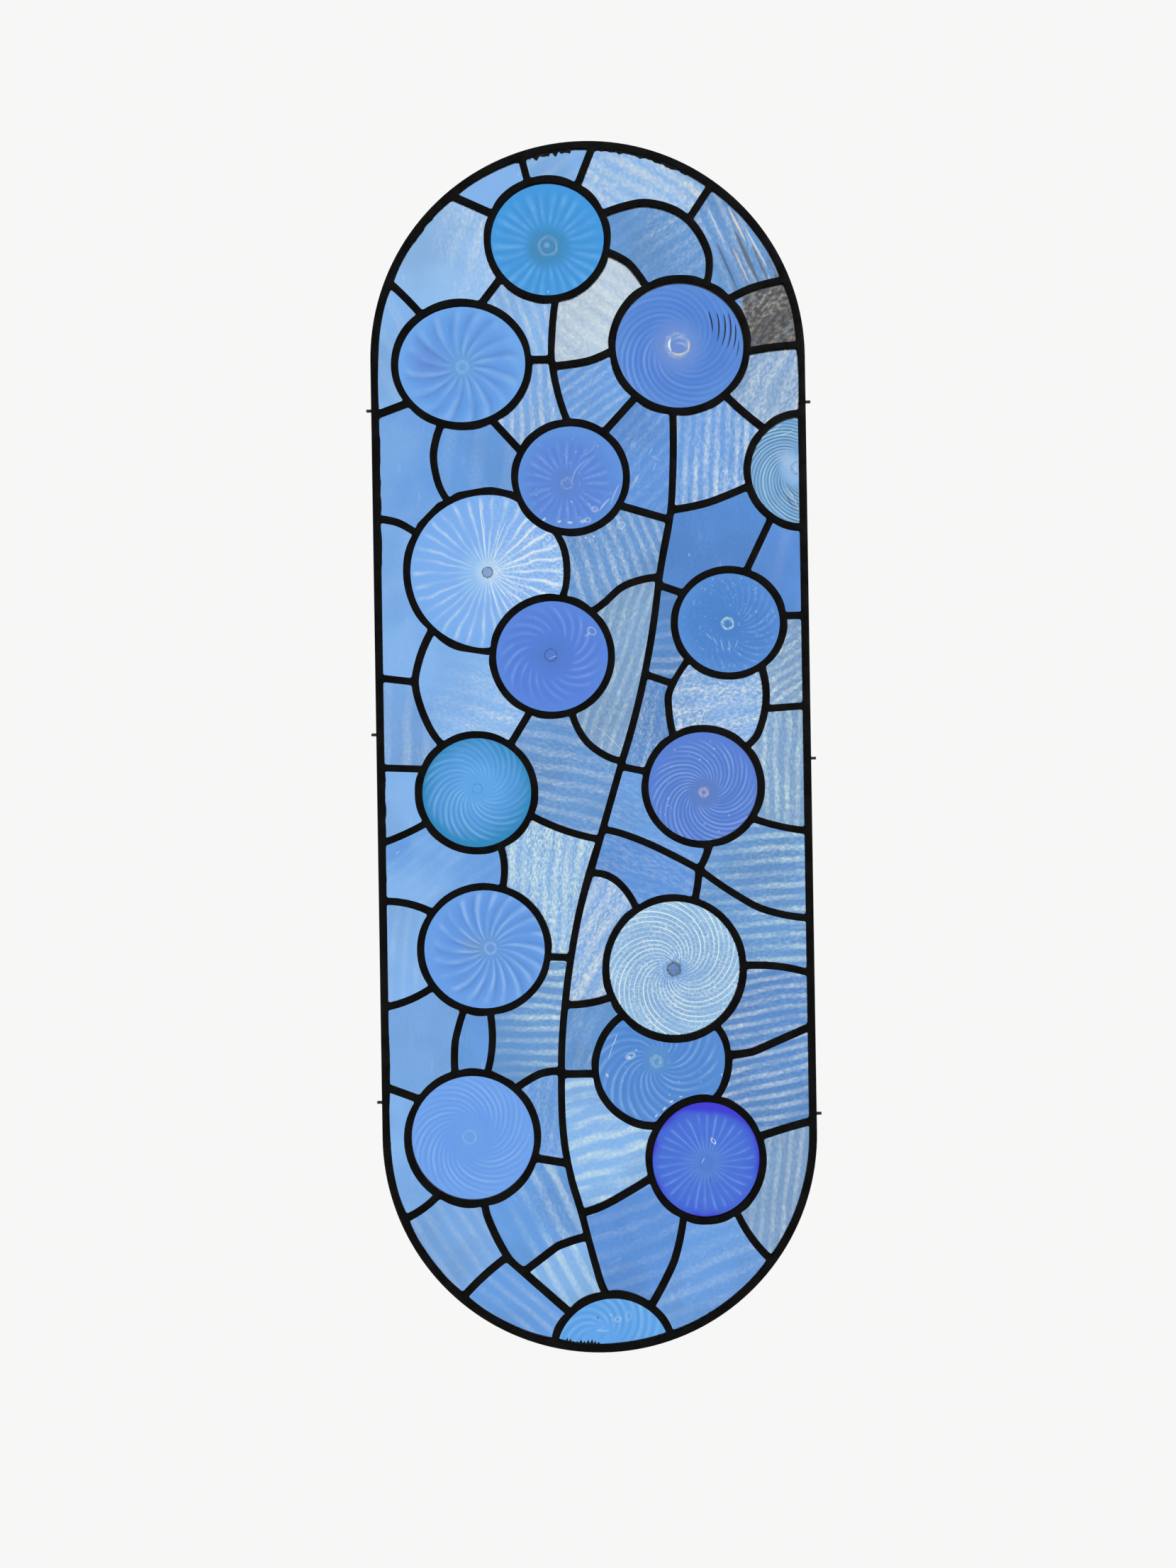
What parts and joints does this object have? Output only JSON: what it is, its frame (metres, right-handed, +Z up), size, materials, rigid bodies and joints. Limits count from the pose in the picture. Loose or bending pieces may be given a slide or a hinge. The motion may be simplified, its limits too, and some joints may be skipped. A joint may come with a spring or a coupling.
{
  "type": "leaded glass skylight panel",
  "caption": "Flat leaded glass ceiling panel with round ends: spun roundels and blue background panes in a soldered lead came net, held by short side pins.",
  "frame": {"origin": "middle of the panel, halfway through its thickness, in the plane of the ceiling opening that its pins hold it in", "axes": "+Z up to the sky side, -Y towards the panel's top as someone below sees it, +X to that person's right"},
  "size_m": [0.3756, 1.0232, 0.006],
  "materials": {
    "lead": "dull black patina on soldered lead, a little shine on the solder",
    "pin_steel": "blackened steel wire",
    "sky_glass": "clear pale blue cathedral glass, plain or with faint white wisps",
    "pale_glass": "pale blue seedy and frosted glass",
    "smoky_glass": "grey mottled glass",
    "violet_glass": "clear periwinkle blue spun glass",
    "cyan_glass": "clear cyan blue spun glass",
    "deep_glass": "clear ultramarine spun glass"
  },
  "bodies": {
    "root": {"came_net": "lead", "pin_left_top": "pin_steel", "pin_left_middle": "pin_steel", "pin_left_bottom": "pin_steel", "pin_right_top": "pin_steel", "pin_right_middle": "pin_steel", "pin_right_bottom": "pin_steel", "roundel_top": "cyan_glass", "roundel_upper_right": "violet_glass", "roundel_upper_left": "sky_glass", "roundel_upper_middle": "violet_glass", "roundel_right_edge": "sky_glass", "roundel_large": "sky_glass", "roundel_middle": "violet_glass", "roundel_right": "sky_glass", "roundel_left": "cyan_glass", "roundel_right_middle": "violet_glass", "roundel_lower_left": "sky_glass", "roundel_spiral": "pale_glass", "roundel_cut": "sky_glass", "roundel_deep": "deep_glass", "roundel_bottom_left": "sky_glass", "roundel_foot": "cyan_glass", "pane_top_left": "sky_glass", "pane_top_arch": "sky_glass", "pane_top_right": "sky_glass", "pane_crescent": "sky_glass", "pane_streaked": "sky_glass", "pane_smoky": "smoky_glass", "pane_right_shoulder": "sky_glass", "pane_frosted_top": "pale_glass", "pane_stem_upper_left": "sky_glass", "pane_stem_upper_right": "sky_glass", "pane_left_edge_upper": "sky_glass", "pane_under_upper_left": "sky_glass", "pane_left_edge_middle": "sky_glass", "pane_left_middle": "sky_glass", "pane_left_edge_lower": "sky_glass", "pane_left_edge_bottom": "sky_glass", "pane_narrow_left": "sky_glass", "pane_frosted_left": "pale_glass", "pane_stem_left": "sky_glass", "pane_stem_wispy": "sky_glass", "pane_stem_plain": "sky_glass", "pane_frosted_right": "pale_glass", "pane_right_upper": "sky_glass", "pane_stem_right": "sky_glass", "pane_right_edge_middle": "sky_glass", "pane_barrel": "pale_glass", "pane_sliver": "sky_glass", "pane_stem_right_lower": "sky_glass", "pane_right_edge_lower": "sky_glass", "pane_frosted_lower": "pale_glass", "pane_right_edge_bottom": "sky_glass", "pane_stem_foot_right": "sky_glass", "pane_stem_foot_left": "sky_glass", "pane_bottom_left": "sky_glass", "pane_bottom_middle": "sky_glass", "pane_bottom_right": "sky_glass", "pane_right_edge_foot": "sky_glass"}
  },
  "joints": []
}
